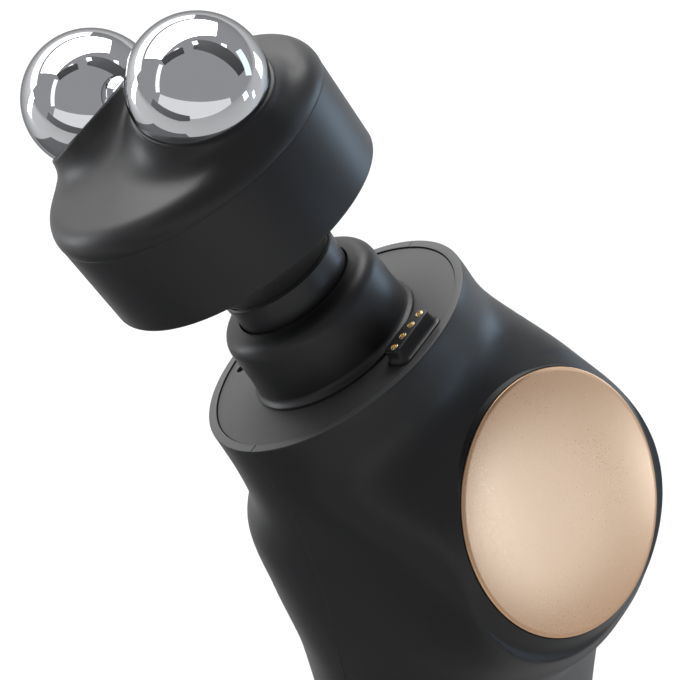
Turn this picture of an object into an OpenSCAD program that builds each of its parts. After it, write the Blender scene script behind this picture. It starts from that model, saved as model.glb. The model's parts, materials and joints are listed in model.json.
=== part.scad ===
// Facial toning device, hand held. A contoured grip leans forward into a round
// neck, a massage head with two ball electrodes lifts off the neck, and a round
// metal warming disc is set in the back. The head is stored lifted clear.
// Millimetres, +Z up. Origin: centre of the resting face under the grip.
// The head leans towards -X, the disc faces +X, Y is across the grip.

/* [View] */
// Sub-part to draw

/* [Grip] */
// Angle by which the neck and head lean forward (deg)
head_tilt = 32; // [30:1:34]
// Radius of the bend between grip and neck
bend_r = 82; // [80:1:88]
// Straight length of the grip below the bend
grip_len = 77; // [76:1:90]
// Diameter of the round rim at the neck end
rim_d = 50; // [49:0.5:52]
// Widest width across the grip
body_w = 56; // [55:0.5:60]
// Reach from the bend line to the back
back_reach = 43.5; // [42.5:0.5:46]
// Reach from the bend line to the front
front_reach = 26.5; // [26:0.5:29]
// Wall of the two shells
wall = 2.2; // [2:0.1:2.5]

/* [Warming disc] */
// Diameter of the metal disc
disc_d = 44.5; // [42:0.5:45]
// Distance of the disc face from the head axis
disc_x = 26.8; // [26.4:0.1:27.4]
// Drop of the disc centre below the rim
disc_drop = 37.1; // [36.5:0.1:39]
// Crown of the disc face
disc_crown = 0.5; // [0.2:0.1:1]

/* [Neck] */
// Outside diameter of the neck boot
neck_d = 29; // [28.4:0.2:29.6]
// Height of the neck boot above the rim
neck_h = 12.4; // [12.2:0.1:12.8]
// Diameter of the percussion tip
tip_d = 21.2; // [20:0.2:21.4]
// Height of the tip above the neck boot
tip_rise = 5.2; // [4.8:0.1:5.4]
// Stroke of the percussion shaft
stroke = 3; // [2:0.5:3]
// Diameter of the percussion shaft
shaft_d = 9; // [8.4:0.2:9.4]

/* [Contact block] */
// Number of spring contacts
pin_count = 4; // [4]
// Pitch of the spring contacts
pin_pitch = 2.54; // [2.4:0.02:2.6]
// Height of the contact block above the rim
block_h = 2.35; // [2.2:0.05:2.6]
// Travel of each spring contact
pin_travel = 0.4; // [0.2:0.1:0.5]

/* [Massage head] */
// Height by which the head is lifted off the rim
head_lift = 26.8; // [24:0.2:36]
// Height from the head's lower edge to its seam
seam_h = 15.75; // [15.5:0.25:17]
// Diameter of each ball electrode
ball_d = 22.9; // [22:0.1:23.2]
// Distance between the ball centres
ball_pitch = 27.8; // [27.4:0.2:28.4]
// Height of the ball centres above the seam
ball_h = 12.85; // [12.6:0.05:13.2]
// Outward tilt of the ball seats (deg)
seat_tilt = 22; // [18:1:24]

/* [Controls] */
// Height of the lowest button above the resting face
button_z = 26; // [25:1:30]
// Pitch from button to button
button_pitch = 9; // [8.8:0.1:9.6]
// Diameter of the buttons
button_d = 7.2; // [6.6:0.2:7.4]
// Travel of the buttons
button_travel = 0.6; // [0.4:0.1:0.7]

/* [Power] */
// Diameter of the battery cell
cell_d = 18.5; // [17.5:0.5:18.5]
// Length of the battery cell
cell_len = 62; // [50:1:62]
// Diameter of the motor
motor_d = 29; // [27:0.5:29.5]

/* [Fits] */
// Running clearance on radius between shaft and bore
run_fit = 0.05; // [0.03:0.01:0.08]
// Clearance between parts that only pass each other
gap = 0.3; // [0.2:0.05:0.4]

/* [Hidden] */
$fn = 72;
rim_r = rim_d / 2;
half_w = body_w / 2;
disc_r = disc_d / 2;
neck_r = neck_d / 2;
tip_r = tip_d / 2;
shaft_r = shaft_d / 2;
ball_r = ball_d / 2;
button_r = button_d / 2;
cell_r = cell_d / 2;
motor_r = motor_d / 2;

// Levels under the rim, on the head axis
rim_wall = 1.1;
deck_top = -0.25;
deck_low = -1.9;
flange_low = -4.7;
flange_r = rim_r - 3.6;
boss_at = rim_r - 6.4;
magnet_at = rim_r - 5.6;
magnet_r = 1.8;

// Warming disc pocket
disc_t = 1.7;
gasket_t = 0.5;
pocket_x = disc_x - disc_t - gasket_t;
inner_x = pocket_x - 1.6;
crease_x = disc_x - 2.5;
bezel_r = disc_r + 2.5;

// Neck
tip_low = neck_h - 1.4;
recess_r = tip_r + gap;
recess_z = tip_low - stroke - 0.6;
tip_top = neck_h + tip_rise;
tube_top = 6;
tube_r = neck_r - 2.7;
bush_r = 7;
wrist_z = -8.5;
throw_r = stroke / 2;
big_z = throw_r - disc_drop;
big_bore = 7.3;

// Contact block
pin_x = 20;
block_x = 17.9;
block_end = 21.5;
block_w = 9.8;
block_round = 1;
foot_h = 0.45;
barrel_r = 0.72;
pin_r = 0.42;
pin_top = block_h + 0.25;

// Motor, along X at the disc's height
motor_x0 = 7;
motor_x1 = 21.5;
plate_x = 5.4;

// Controls, on a flat in the front of the grip
panel_x = -20.9;
panel_r = button_r + 3.8;
ledge_x = panel_x + 1.3;
panel_back = ledge_x + 1.3;
flap_r = button_r + 0.7;
cap_back = panel_back + 0.9;
switch_x = cap_back + button_travel + 0.1;
board_x = switch_x + 1.1;
link_x = board_x + 1.2;
main_x = link_x + 2.4;
rail_x = main_x + 1.6;

// Foot
pad_t = 0.8;
base_top = 3;
cell_x = 3;
cell_z = base_top + 2.4;
cradle_x0 = -11;
cradle_x1 = 12;
cradle_w = 33;
cradle_wall = 1.75;
post_y = 14;
board_w = 26;
key_board_w = 15;
usb_z = 11.6;

// Head, heights from its own lower edge
base_r = rim_r - 2.7;
bore_r = neck_r + 1.8;
step_z = neck_h + 0.8;
head_edge = 0.6;
web_z = seam_h + 2.85;
seat_z = web_z + 1.9;
ball_z = seam_h + ball_h;
shoulder_r = 4.2;
shoulder_at = rim_r - 3.55;
shoulder_z = seam_h + 0.8;
head_boss_at = rim_r - 5.05;
head_boss_r = 2.3;
seated_gap = 0.1;
pad_z = pin_top + 0.07 - seated_gap;

charcoal = [0.13, 0.14, 0.16];
deck_grey = [0.30, 0.31, 0.33];
rubber_black = [0.08, 0.08, 0.09];
steel = [0.70, 0.71, 0.73];
chrome = [0.86, 0.87, 0.89];
rose_gold = [0.80, 0.58, 0.47];
gold = [0.86, 0.70, 0.38];
board_green = [0.10, 0.32, 0.20];
frame_grey = [0.42, 0.44, 0.47];

// ---------------------------------------------------------------- helpers

// Places children on the leaning head axis, with its zero at the rim
module on_neck()
    translate([-bend_r * (1 - cos(head_tilt)), 0, grip_len + bend_r * sin(head_tilt)])
    rotate([0, -head_tilt, 0]) children();

// Places children in the lifted head, with zero at its lower edge
module on_head() on_neck() translate([0, 0, head_lift]) children();

// Places children on the motor axis
module on_motor() on_neck() translate([0, 0, -disc_drop]) children();

module rod(z0, z1, r) translate([0, 0, z0]) cylinder(r = r, h = z1 - z0);

module rodx(x0, x1, r) translate([x0, 0, 0]) rotate([0, 90, 0]) cylinder(r = r, h = x1 - x0);

module ring(z0, z1, ro, ri) difference() {
    rod(z0, z1, ro);
    rod(z0 - 1, z1 + 1, ri);
}

module ringx(x0, x1, ro, ri) difference() {
    rodx(x0, x1, ro);
    rodx(x0 - 1, x1 + 1, ri);
}

// Block centred on Y
module slab(x0, x1, w, z0, z1) translate([x0, -w / 2, z0]) cube([x1 - x0, w, z1 - z0]);

// Block centred on Y with upright round corners
module bar(x0, x1, w, z0, z1) {
    slab(x0 + block_round, x1 - block_round, w, z0, z1);
    slab(x0, x1, w - 2 * block_round, z0, z1);
    for (x = [x0 + block_round, x1 - block_round], y = [-1, 1] * (w / 2 - block_round))
        translate([x, y, 0]) rod(z0, z1, block_round);
}

// Upright slot with round ends, along X
module slotx(x0, x1, r, z0, z1) {
    translate([0, 0, z0]) rodx(x0, x1, r);
    translate([0, 0, z1]) rodx(x0, x1, r);
    slab(x0, x1, 2 * r, z0, z1);
}

// Copies at the given angles and radius round Z
module around(angles, r) for (a = angles) rotate([0, 0, a]) translate([r, 0, 0]) children();

SCREW_ANGLES = [45, 135, 225, 315];
MAGNET_ANGLES = [70, 160, 200, 290];

// ---------------------------------------------------------------- grip form

// Stations down the body: distance along the bend line (deg in the bend, then
// mm down the grip), reach to the back, reach to the front, half width, and
// the squareness of the back and front halves of the section (2 = ellipse).
STATIONS = [
    [0, rim_r, rim_r, rim_r, 2, 2],
    [0.2 * head_tilt, 0.98 * rim_r, 0.9 * rim_r, 1.02 * rim_r, 2.2, 2.2],
    [0.42 * head_tilt, 0.805 * back_reach, 0.92 * rim_r, 0.93 * half_w, 3.2, 2.3],
    [0.68 * head_tilt, back_reach, front_reach, 0.98 * half_w, 4, 2.5],
    [head_tilt, 0.92 * back_reach, front_reach, half_w, 2.5, 2.2],
    [head_tilt + 18, 0.713 * back_reach, 0.87 * front_reach, 0.98 * half_w, 2.4, 2],
    [head_tilt + grip_len, 0.517 * back_reach, 0.83 * front_reach, 0.857 * half_w, 2.3, 2.1]
];

LAST = len(STATIONS) - 1;

function slope(k, c) = let (a = max(k - 1, 0), b = min(k + 1, LAST))
    (STATIONS[b][c] - STATIONS[a][c]) / (STATIONS[b][0] - STATIONS[a][0]);

function span(s, k = 0) = k >= LAST - 1 || s < STATIONS[k + 1][0] ? k : span(s, k + 1);

// Smooth curve through the stations
function at(s, c) = let (
        k = span(s),
        h = STATIONS[k + 1][0] - STATIONS[k][0],
        t = (s - STATIONS[k][0]) / h,
        u = 1 - t)
    (1 + 2 * t) * u * u * STATIONS[k][c] + t * u * u * h * slope(k, c)
    + t * t * (3 - 2 * t) * STATIONS[k + 1][c] - t * t * u * h * slope(k + 1, c);

function bend_c(s) = let (b = min(s, head_tilt), h = max(s - head_tilt, 0))
    [-bend_r * (1 - cos(b)) - h * sin(head_tilt), 0, -bend_r * sin(b) - h * cos(head_tilt)];

function bend_e(s) = let (b = min(s, head_tilt)) [cos(b), 0, -sin(b)];

function point_at(s, phi, r) = bend_c(s) + r * cos(phi) * bend_e(s) + [0, r * sin(phi), 0];

function outer_r(s, phi) = let (
        back = cos(phi) > 0,
        reach = back ? at(s, 1) : at(s, 2),
        n = back ? at(s, 4) : at(s, 5))
    pow(pow(abs(cos(phi)) / reach, n) + pow(abs(sin(phi)) / at(s, 3), n), -1 / n);

function wall_at(s) = s < 3.2 ? rim_wall
    : s < 7 ? rim_wall + (wall - rim_wall) * (s - 3.2) / 3.8 : wall;

// The inside stops at a flat behind the disc
function inner_r(s, phi) = let (
        r = outer_r(s, phi) - wall_at(s),
        k = cos(phi) * bend_e(s).x)
    cos(phi) > 0.01 && s > 7 && s < 70 ? min(r, (inner_x - bend_c(s).x) / k) : r;

SHELL_END = head_tilt + grip_len - pad_t - 0.02;
SHELL_S = concat([0, 1.8, 3.2, 4.6],
    [for (k = [1:11]) 4.6 + (head_tilt - 4.6) * k / 11],
    [for (k = [1:9]) head_tilt + (SHELL_END - head_tilt) * k / 9]);
ARC = 22;

// Half shell as a loft; side = 1 for the back, -1 for the front
module half_shell(side) {
    start = side > 0 ? -90 : 90;
    n = 2 * (ARC + 1);
    rows = len(SHELL_S);
    pts = [for (s = SHELL_S) each concat(
        [for (k = [0:ARC]) let (phi = start + 180 * k / ARC) point_at(s, phi, outer_r(s, phi))],
        [for (k = [ARC:-1:0]) let (phi = start + 180 * k / ARC) point_at(s, phi, inner_r(s, phi))])];
    sides = [for (i = [0:rows - 2], k = [0:n - 1]) let (
            a = i * n + k,
            b = i * n + (k + 1) % n) each [[a, b, b + n], [a, b + n, a + n]]];
    ends = [for (e = [0, rows - 1], k = [0:ARC - 1]) let (
            a = e * n + k,
            b = e * n + n - 1 - k) each (e == 0
                ? [[a, b, b - 1], [a, b - 1, a + 1]]
                : [[a, b - 1, b], [a, a + 1, b - 1]])];
    polyhedron(points = pts, faces = concat(sides, ends), convexity = 8);
}

// Everything outside the bezel cone round the disc
module bezel_cut() translate([0, 0, -disc_drop]) rotate([0, 90, 0])
    rotate_extrude() polygon([
        [0, disc_x], [disc_r, disc_x], [bezel_r, crease_x],
        [29, crease_x], [29, 60], [0, 60]]);

module drive_boss(a) rotate([0, 0, a]) {
    translate([boss_at, 0, 0]) rod(-12, flange_low, 2.8);
    translate([boss_at, -2.2, -12]) cube([rim_r - 1.6 - boss_at, 4.4, 12 + flange_low]);
}

module base_outline(inset) polygon([for (k = [0:71]) let (
        phi = 5 * k,
        r = outer_r(head_tilt + grip_len, phi) - inset) [r * cos(phi), r * sin(phi)]]);

// ---------------------------------------------------------------- grip parts

module front_shell() color(charcoal) difference() {
    on_neck() difference() {
        union() {
            half_shell(-1);
            drive_boss(135);
            drive_boss(225);
        }
        around([135, 225], boss_at) rod(-11.6, 0, 1.02);
    }
    slotx(-60, ledge_x, panel_r + 0.1, button_z, button_z + 3 * button_pitch);
    slotx(ledge_x, -8, panel_r + 1.75, button_z, button_z + 3 * button_pitch);
}

module back_shell() color(charcoal) difference() {
    on_neck() difference() {
        union() {
            half_shell(1);
            drive_boss(45);
            drive_boss(315);
        }
        bezel_cut();
        around([45, 315], boss_at) rod(-11.6, 0, 1.02);
        translate([0, 0, -disc_drop]) rodx(pocket_x, 60, disc_r + 0.1);
    }
    usb_form(12, 40, 1.8, 5.8);
}

// Flat-sided form of the charging mouth, along X
module usb_form(x0, x1, r, w) {
    for (y = [-w / 2, w / 2]) translate([0, y, usb_z]) rodx(x0, x1, r);
    slab(x0, x1, w, usb_z - r, usb_z + r);
}

module deck_plate() color(deck_grey) on_neck() difference() {
    translate([0, 0, deck_low]) cylinder(h = deck_top - deck_low,
        r1 = rim_r - rim_wall - 0.95, r2 = rim_r - rim_wall - 0.25);
    rod(deck_low - 1, 1, neck_r - 1.4);
    slab(pin_x - 1.7, pin_x + 1.5, 10.8, deck_low - 1, 1);
    slab(4 - rim_r, 5.7 - rim_r, 10.6, deck_low - 1, 1);
    for (y = [-5.3, 5.3]) translate([4.85 - rim_r, y, 0]) rod(deck_low - 1, 1, 0.85);
}

module disc() color(rose_gold) on_motor() rotate([0, 90, 0]) rotate_extrude() polygon(concat(
    [[0, disc_x - disc_t], [disc_r, disc_x - disc_t], [disc_r, disc_x - 0.25]],
    [for (k = [0:8]) let (r = (disc_r - 0.25) * (1 - k / 8))
        [r, disc_x + disc_crown * (1 - pow(r / disc_r, 2))]]));

module disc_gasket() color(rubber_black) on_motor()
    ringx(pocket_x, disc_x - disc_t, disc_r - 1, disc_r - 7);

module neck_boot() color(charcoal) on_neck() difference() {
    union() {
        rotate_extrude() polygon(concat(
            [[tube_r + 0.15, deck_low], [neck_r - 1.5, deck_low], [neck_r - 1.5, deck_top],
             [neck_r + 1.1, deck_top], [neck_r + 0.9, 0.1], [neck_r + 0.6, 0.6],
             [neck_r + 0.4, 1.2], [neck_r + 0.25, 2.2], [neck_r, 4.6]],
            [for (a = [0:15:90]) [neck_r - 3 + 3 * cos(a), neck_h - 3 + 3 * sin(a)]],
            [[recess_r, neck_h], [recess_r, recess_z], [shaft_r + 1.75, recess_z],
             [shaft_r + 1.75, tube_top], [tube_r + 0.15, tube_top]]));
        bar(block_x, block_end, block_w, deck_top, block_h);
        bar(neck_r - 1.4, block_end + 0.3, block_w + 0.8, deck_top, foot_h);
        bar(neck_r - 1.4, block_end + 0.8, block_w + 1.8, deck_top, 0);
        slab(pin_x - 1.65, pin_x + 1.45, 10.7, deck_low, deck_top);
    }
    pin_spots() rod(-1.75, 9, barrel_r);
}

module pin_spots() for (k = [0:pin_count - 1]) pin_spot(k) children();

module pin_spot(k) translate([pin_x, (k - (pin_count - 1) / 2) * pin_pitch, 0]) children();

module pin_barrels() color(gold) on_neck() pin_spots() difference() {
    rod(-1.75, block_h + 0.1, barrel_r);
    rod(-1.6, 9, pin_r + run_fit);
}

module pogo_pin(k) color(gold) on_neck() pin_spot(k) {
    rod(pin_travel - 1.5, pin_top - 0.2, pin_r);
    translate([0, 0, pin_top - 0.2]) cylinder(r1 = pin_r, r2 = pin_r - 0.2, h = 0.2);
}

module shaft_seal() color(rubber_black) on_neck()
    ring(tube_top, recess_z - 0.2, shaft_r + 1.7, shaft_r + 0.08);

module percussion_shaft() color(charcoal) on_neck() difference() {
    rotate_extrude() polygon([
        [0, -12], [shaft_r, -12], [shaft_r, tip_low], [tip_r - 1.2, tip_low],
        [tip_r - 0.5, tip_low + 0.4], [tip_r - 0.2, tip_low + 1], [tip_r, tip_top - 0.35],
        [tip_r - 0.2, tip_top - 0.1], [tip_r - 0.35, tip_top - 0.1],
        [tip_r - 0.35, tip_top - 2.2], [0, tip_top - 2.2]]);
    slab(-1.9, 1.9, 20, -20, -4.4);
    translate([0, 0, wrist_z]) rodx(-9, 9, 1.2);
}

module tip_disc() color(deck_grey) on_neck() {
    rod(tip_top - 2.2, tip_top - 0.25, tip_r - 0.55);
    translate([0, 0, tip_top - 0.25]) cylinder(r1 = tip_r - 0.55, r2 = tip_r - 0.8, h = 0.25);
}

module guide_bush() color(gold) on_neck() {
    ring(flange_low, tube_top, bush_r, shaft_r + run_fit);
    ring(flange_low - 1, flange_low, bush_r + 1, shaft_r + run_fit);
}

module drive_frame() color(frame_grey) on_neck() difference() {
    union() {
        rod(flange_low, deck_low, flange_r);
        rod(deck_low, tube_top, tube_r);
        slab(plate_x, motor_x0, 31.2, -disc_drop - 15.4, flange_low);
        for (y = [-14.3, 14.3]) translate([0, y, 0]) slab(motor_x0, 9.4, 2.6, -8.7, flange_low);
    }
    rod(-60, 20, bush_r + 0.02);
    rod(-60, flange_low, bush_r + 1.3);
    slab(-30, plate_x, 40, -80, flange_low - 0.001);
    translate([0, 0, -disc_drop]) {
        rodx(0, 20, 9);
        motor_bolts() rodx(0, 20, 1.02);
    }
    around(SCREW_ANGLES, boss_at) {
        rod(-9, 0, 1.02);
        rod(deck_low - 1.2, 0, 1.9);
    }
    around(MAGNET_ANGLES, magnet_at) rod(deck_low - 2, 0, magnet_r);
}

module drive_screws() color(steel) on_neck() around(SCREW_ANGLES, boss_at) {
    rod(deck_low - 1.2, deck_low - 0.1, 1.8);
    rod(-11, deck_low - 1.2, 1);
}

module deck_magnets() color(steel) on_neck() around(MAGNET_ANGLES, magnet_at)
    rod(deck_low - 2, deck_low, magnet_r);

module wrist_pin() color(steel) on_neck() translate([0, 0, wrist_z]) rodx(-4.2, 4.2, 1.2);

module con_rod() color(steel) on_neck() difference() {
    union() {
        translate([0, 0, wrist_z]) rodx(-1.5, 1.5, 3.2);
        slab(-1.5, 1.5, 5.2, big_z + 8, wrist_z);
        translate([0, 0, big_z]) rodx(-1.5, 1.5, 9.3);
    }
    translate([0, 0, wrist_z]) rodx(-5, 5, 1.2 + run_fit);
    translate([0, 0, big_z]) rodx(-5, 5, big_bore);
}

module crank() color(steel) on_motor() difference() {
    union() {
        rodx(2, 5, 8);
        rodx(5, 6.6, 3.5);
        translate([0, 0, throw_r]) rodx(-1.9, 2, 1.5);
    }
    rodx(2.6, 9, 1.52);
    for (y = [-4.2, 4.2]) translate([0, y, 3.6]) rodx(0, 9, 1.7);
}

module crank_roller() color(gold) on_motor() translate([0, 0, throw_r])
    ringx(-1.6, 1.6, 2.5, 1.5 + 0.02);

module motor_shaft() color(steel) on_motor() rodx(2.6, motor_x1 - 1.1, 1.5);

module motor_bolts() for (a = [0, 120, 240]) rotate([a, 0, 0]) translate([0, 0, 11.5]) children();

module motor() color(steel) on_motor() difference() {
    union() {
        rodx(motor_x0, motor_x1 - 1, motor_r);
        rodx(motor_x1 - 1, motor_x1, motor_r - 1);
    }
    rodx(0, motor_x1 - 0.9, 1.5 + run_fit);
    motor_bolts() rodx(0, 10, 1.02);
}

module motor_screws() color(steel) on_motor() motor_bolts() {
    rodx(4.3, plate_x, 1.7);
    rodx(plate_x, 9.6, 1);
}

module motor_damper() color(rubber_black) on_motor()
    ringx(motor_x1, inner_x - 0.05, motor_r - 1.5, 9.5);

// ---------------------------------------------------------------- inside the grip

module battery() color([0.20, 0.36, 0.55]) translate([cell_x, 0, 0]) {
    rod(cell_z, cell_z + cell_len, cell_r);
    rod(cell_z + cell_len, cell_z + cell_len + 1, 3);
}

module battery_cradle() color(frame_grey) difference() {
    union() {
        translate([cell_x, 0, 0]) rod(base_top, cell_z + cell_len - 6, cell_r + cradle_wall);
        slab(cradle_x0, cradle_x1, cradle_w, base_top, cell_z);
        for (y = [-10.5, 10.5]) translate([0, y, 0])
            slab(rail_x, cell_x, 3, base_top, cell_z + cell_len - 8);
        for (y = [-1, 1] * post_y) translate([cell_x, y, 0]) rod(base_top, base_top + 7, 2.6);
    }
    translate([cell_x, 0, 0]) rod(cell_z, 100, cell_r + 0.1);
    slab(-20, cell_x - 6, 2 * cell_r - 4, cell_z, 100);
    for (y = [-1, 1] * post_y) translate([cell_x, y, 0]) rod(0, base_top + 6.4, 1.12);
}

module main_board() color(board_green)
    slab(main_x, rail_x, board_w, base_top + 4, cell_z + cell_len - 10);

module board_links() color(rubber_black) for (z = [button_z - 5, button_z + 3 * button_pitch])
    slab(link_x, main_x, 6, z, z + 3);

module button_board() color(board_green)
    slab(board_x, link_x, key_board_w, button_z - 6, button_z + 3 * button_pitch + 5);

module button_switches() color(steel) for (k = [0:2])
    slab(switch_x, board_x, 5, button_z + k * button_pitch - 2.5, button_z + k * button_pitch + 2.5);

module control_panel() color(charcoal) difference() {
    union() {
        slotx(panel_x, ledge_x, panel_r, button_z, button_z + 3 * button_pitch);
        slotx(ledge_x, panel_back, panel_r + 1.6, button_z, button_z + 3 * button_pitch);
    }
    for (k = [0:2]) translate([0, 0, button_z + k * button_pitch])
        rodx(-40, 0, button_r + gap);
    translate([0, 0, button_z + 3 * button_pitch]) {
        rodx(-40, panel_x + 1, 4.3);
        rodx(-40, 0, 3.4);
    }
}

module display_window() color([0.05, 0.06, 0.08])
    translate([0, 0, button_z + 3 * button_pitch]) rodx(panel_x + 0.05, panel_x + 1, 4.25);

module display_module() color([0.15, 0.17, 0.20])
    slab(panel_back, board_x, 7.6, button_z + 3 * button_pitch - 3.8,
         button_z + 3 * button_pitch + 3.8);

module button(k) color(deck_grey) translate([0, 0, button_z + k * button_pitch]) {
    translate([panel_x - 0.8, 0, 0]) rotate([0, 90, 0])
        cylinder(r1 = button_r - 0.4, r2 = button_r, h = 0.4);
    rodx(panel_x - 0.4, panel_back + 0.1, button_r);
    rodx(panel_back + 0.1, cap_back, flap_r);
}

module charge_board() color(board_green) slab(14.4, 20.4, 15, usb_z - 2.8, usb_z - 1.6);

module usb_socket() color(steel) difference() {
    union() {
        for (y = [-2.9, 2.9]) translate([0, y, usb_z]) rodx(15.6, 23.3, 1.6);
        slab(15.6, 23.3, 5.8, usb_z - 1.6, usb_z + 1.6);
    }
    difference() {
        union() {
            for (y = [-2.9, 2.9]) translate([0, y, usb_z]) rodx(16.6, 30, 1.3);
            slab(16.6, 30, 5.8, usb_z - 1.3, usb_z + 1.3);
        }
        slab(15, 22.6, 6.6, usb_z - 0.35, usb_z + 0.35);
    }
}

module base_cap() color(charcoal) difference() {
    union() {
        translate([0, 0, pad_t]) linear_extrude(height = base_top - pad_t)
            base_outline(wall + 0.25);
        for (y = [-5.5, 5.5]) translate([0, y, 0]) slab(15.2, 18.2, 2, base_top - 0.5, usb_z - 2.8);
    }
    for (y = [-1, 1] * post_y) translate([cell_x, y, 0]) {
        rod(0, base_top + 2, 1.15);
        rod(0, pad_t + 1.2, 2.2);
    }
}

module base_screws() color(steel) for (y = [-1, 1] * post_y) translate([cell_x, y, 0]) {
    rod(pad_t + 0.1, pad_t + 1.2, 2.1);
    rod(pad_t + 1.2, base_top + 6, 1.1);
}

module foot_pad() color(rubber_black) linear_extrude(height = pad_t) base_outline(0.6);

// ---------------------------------------------------------------- massage head

module head_housing() color(charcoal) on_head() rotate_extrude() polygon(concat(
    [[rim_r - 2.6, 0]],
    [for (a = [-90:15:0]) [rim_r - head_edge * (1 - cos(a)), head_edge * (1 + sin(a))]],
    [[rim_r + 0.55, seam_h], [rim_r - 2.6, seam_h]]));

// Places children on a tilted ball seat: side = 1 back, -1 front
module on_seat(side) on_head() translate([side * ball_pitch / 2, 0, ball_z])
    rotate([0, side * seat_tilt, 0]) children();

module head_cap() color(charcoal) {
    difference() {
        union() {
            on_head() rotate_extrude() polygon(concat(
                [[0, seam_h - 2.5], [rim_r - 2.7, seam_h - 2.5], [rim_r - 2.7, seam_h]],
                [for (a = [-10:10:70]) [shoulder_at + shoulder_r * cos(a),
                                        shoulder_z + shoulder_r * sin(a)]],
                [[rim_r - 5, shoulder_z + 4.5], [rim_r - 9, shoulder_z + 6.2],
                 [rim_r - 14, shoulder_z + 9], [0, shoulder_z + 12]]));
            for (side = [-1, 1]) on_seat(side) rotate_extrude() polygon([
                [0, -11], [ball_r + 2.6, -11], [ball_r + 1.6, -6], [ball_r + 0.9, -4],
                [ball_r + 0.5, -2.6], [ball_r + 0.35, -2.1], [ball_r + 0.1, -1.9], [0, -1.9]]);
        }
        on_head() {
            rod(-40, web_z, rim_r - 4.2);
            rod(-40, seam_h - 2.5, 40);
            ring(-40, seam_h, 40, rim_r - 2.7);
            for (x = [-1, 1] * ball_pitch / 2) translate([x, 0, 0]) {
                rod(0, seat_z + 1, 1.4);
                intersection() {
                    translate([0, 0, ball_z]) sphere(r = ball_r + 0.03);
                    rod(seat_z, 80, 20);
                }
            }
        }
    }
    on_head() around(SCREW_ANGLES, head_boss_at) ring(2.2, web_z + 0.2, head_boss_r, 0.92);
}

module electrode(side) color(chrome) on_head() translate([side * ball_pitch / 2, 0, 0])
    difference() {
        intersection() {
            translate([0, 0, ball_z]) sphere(r = ball_r, $fn = 96);
            rod(seat_z, 80, 20);
        }
        rod(0, seat_z + 4.2, 1.27);
    }

module electrode_screws() color(steel) on_head() for (x = [-1, 1] * ball_pitch / 2)
    translate([x, 0, 0]) {
        rod(web_z - 1.3, web_z, 2.2);
        rod(web_z, seat_z + 4, 1.25);
    }

module contact_posts() color(gold) on_head() for (x = [-1, 1] * ball_pitch / 2)
    translate([x, 0, 0]) rod(step_z + 2.4, web_z - 1.3, 0.8);

module head_board() color(board_green) on_head() difference() {
    ring(step_z + 1.2, step_z + 2.4, bore_r + 0.2, tip_r + 0.95);
    around(SCREW_ANGLES, head_boss_at) rod(0, 40, head_boss_r + 0.1);
}

module head_base() color(frame_grey) on_head() difference() {
    union() {
        rod(0, 2.2, base_r);
        rod(0, step_z + 1.2, bore_r + 1.2);
        intersection() {
            slab(15, base_r + 1, block_w + 4.8, 0, pad_z + 1.5);
            rod(0, 10, base_r);
        }
        slab(4.5 - rim_r, 5.3 - rim_r, 9, -1.2, 0.5);
    }
    rod(-1, step_z, bore_r);
    rod(-1, 1.5, bore_r + 0.9);
    rod(0, 40, tip_r + 0.7);
    slab(12, base_r + 1, block_w + 2.6, -2, pad_z + 0.4);
    pin_spots() rod(0, pad_z + 1.1, 0.9);
    around(SCREW_ANGLES, head_boss_at) {
        rod(-1, 40, 0.95);
        rod(-1, 1.1, 1.7);
        rod(2.2, 40, head_boss_r + 0.1);
    }
    around(MAGNET_ANGLES, magnet_at) rod(0.4, 3, magnet_r);
}

module head_pads() color(gold) on_head() pin_spots() rod(pad_z, pad_z + 1.1, 0.9);

module head_magnets() color(steel) on_head() around(MAGNET_ANGLES, magnet_at)
    rod(0.4, 2.2, magnet_r);

module head_screws() color(steel) on_head() around(SCREW_ANGLES, head_boss_at) {
    rod(0.1, 1.1, 1.65);
    rod(1.1, 9, 0.9);
}

// ---------------------------------------------------------------- drawing

front_shell();
back_shell();
deck_plate();
disc();
disc_gasket();
neck_boot();
pin_barrels();
pogo_pin(0);  // pogo_pin_1
pogo_pin(1);  // pogo_pin_2
pogo_pin(2);  // pogo_pin_3
pogo_pin(3);  // pogo_pin_4
shaft_seal();
percussion_shaft();
tip_disc();
guide_bush();
drive_frame();
drive_screws();
deck_magnets();
wrist_pin();
con_rod();
crank();
crank_roller();
motor_shaft();
motor();
motor_screws();
motor_damper();
battery();
battery_cradle();
main_board();
board_links();
button_board();
button_switches();
control_panel();
display_window();
display_module();
button(0);  // power_button
button(1);  // mode_button
button(2);  // level_button
charge_board();
usb_socket();
base_cap();
base_screws();
foot_pad();
head_housing();
head_cap();
electrode(-1);  // electrode_front
electrode(1);  // electrode_back
electrode_screws();
contact_posts();
head_board();
head_base();
head_pads();
head_magnets();
head_screws();
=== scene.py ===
"""Facial toning device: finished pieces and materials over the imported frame.

Shapes are worked out in millimetres on the leaning head axis, whose zero is the
middle of the rim, and are seated in the row frame in metres. Heights in the head
are measured from its own lower edge.
"""
import json
from math import atan2, cos, hypot, pi, radians, sin, tan

import bmesh
import bpy
import numpy as np
from mathutils import Matrix, Vector


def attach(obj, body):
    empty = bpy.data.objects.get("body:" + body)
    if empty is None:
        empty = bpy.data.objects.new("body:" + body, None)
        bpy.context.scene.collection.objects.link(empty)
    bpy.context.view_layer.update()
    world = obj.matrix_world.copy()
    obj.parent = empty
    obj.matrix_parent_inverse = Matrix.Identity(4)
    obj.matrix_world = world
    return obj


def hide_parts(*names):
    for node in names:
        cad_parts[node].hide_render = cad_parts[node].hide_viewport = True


bl_info = {
    "name": "Facial Toning Device",
    "version": (1, 0, 0),
    "blender": (4, 5, 0),
    "location": "View3D > Sidebar > Toning Device",
    "description": "Builds the finished pieces of a hand-held facial toning device",
    "category": "Object",
}

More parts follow.
